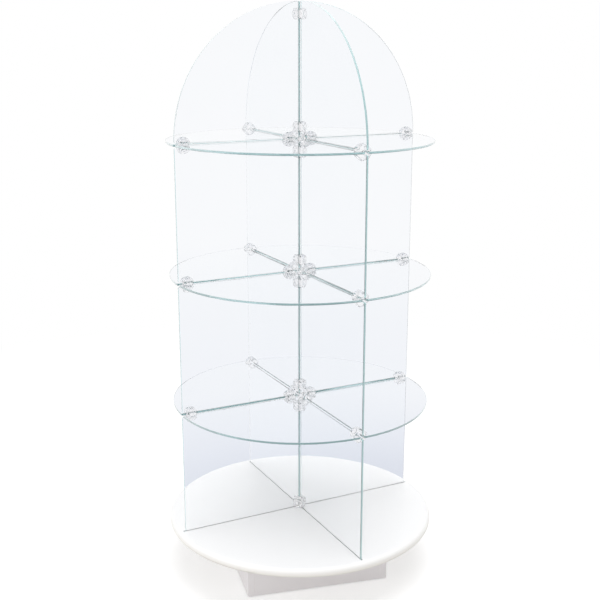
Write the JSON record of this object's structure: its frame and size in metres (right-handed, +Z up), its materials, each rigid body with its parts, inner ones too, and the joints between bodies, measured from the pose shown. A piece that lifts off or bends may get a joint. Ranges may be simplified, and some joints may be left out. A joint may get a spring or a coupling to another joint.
{
  "type": "revolving display tower",
  "caption": "Revolving round display tower: tiers of clear glass bays and shelves with an arched top, on a white deck that turns on a square plinth.",
  "frame": {"origin": "on the floor at the centre of the plinth, on the turning axis", "axes": "+Z up along the turning axis; the glass fins run along +X, +Y, -X and -Y at rest"},
  "size_m": [0.6559, 0.6558, 1.3722],
  "materials": {
    "glass": "clear float glass, polished edges",
    "clear_plastic": "clear moulded plastic",
    "deck_white": "satin white lacquered board",
    "plinth_white": "satin white lacquered board",
    "plinth_top_board": "white faced board",
    "softwood": "planed softwood",
    "bearing_steel": "zinc plated pressing",
    "ball_steel": "polished balls",
    "cage_plastic": "moulded cage",
    "screw_steel": "zinc plated screws",
    "glide_plastic": "nylon glide"
  },
  "bodies": {
    "plinth": {"plinth_side_right": "plinth_white", "plinth_back": "plinth_white", "plinth_side_left": "plinth_white", "plinth_front": "plinth_white", "plinth_top": "plinth_top_board", "corner_block_1": "softwood", "corner_block_2": "softwood", "corner_block_3": "softwood", "corner_block_4": "softwood", "corner_block_screws": "screw_steel", "plinth_top_screws": "screw_steel", "floor_glides": "glide_plastic", "bearing_lower_plate": "bearing_steel", "lower_plate_screws": "screw_steel"},
    "turntable": {"bearing_upper_plate": "bearing_steel", "upper_plate_screws": "screw_steel", "bearing_eyelet": "bearing_steel", "deck": "deck_white", "lower_pane_east": "glass", "lower_pane_north": "glass", "lower_pane_west": "glass", "lower_pane_south": "glass", "lower_shelf_east": "glass", "lower_shelf_north": "glass", "lower_shelf_west": "glass", "lower_shelf_south": "glass", "lower_rim_connectors": "clear_plastic", "lower_hub_connectors": "clear_plastic", "middle_pane_east": "glass", "middle_pane_north": "glass", "middle_pane_west": "glass", "middle_pane_south": "glass", "middle_shelf_east": "glass", "middle_shelf_north": "glass", "middle_shelf_west": "glass", "middle_shelf_south": "glass", "middle_rim_connectors": "clear_plastic", "middle_hub_connectors": "clear_plastic", "upper_pane_east": "glass", "upper_pane_north": "glass", "upper_pane_west": "glass", "upper_pane_south": "glass", "upper_shelf_east": "glass", "upper_shelf_north": "glass", "upper_shelf_west": "glass", "upper_shelf_south": "glass", "upper_rim_connectors": "clear_plastic", "upper_hub_connectors": "clear_plastic", "arch_pane_east": "glass", "arch_pane_north": "glass", "arch_pane_west": "glass", "arch_pane_south": "glass", "spine_connectors": "clear_plastic"},
    "ball_ring": {"ball_cage": "cage_plastic", "bearing_balls": "ball_steel"}
  },
  "joints": [
    {"name": "deck_spin", "type": "hinge", "parent": "plinth", "child": "turntable", "pos_m": [0, 0, 0.112], "axis": [0, 0, 1], "continuous": true},
    {"name": "ball_ring_spin", "type": "hinge", "parent": "plinth", "child": "ball_ring", "pos_m": [0, 0, 0.112], "axis": [0, 0, 1], "continuous": true}
  ],
  "couplings": [
    {"joint": "ball_ring_spin", "follows": "deck_spin", "ratio": 0.5}
  ]
}
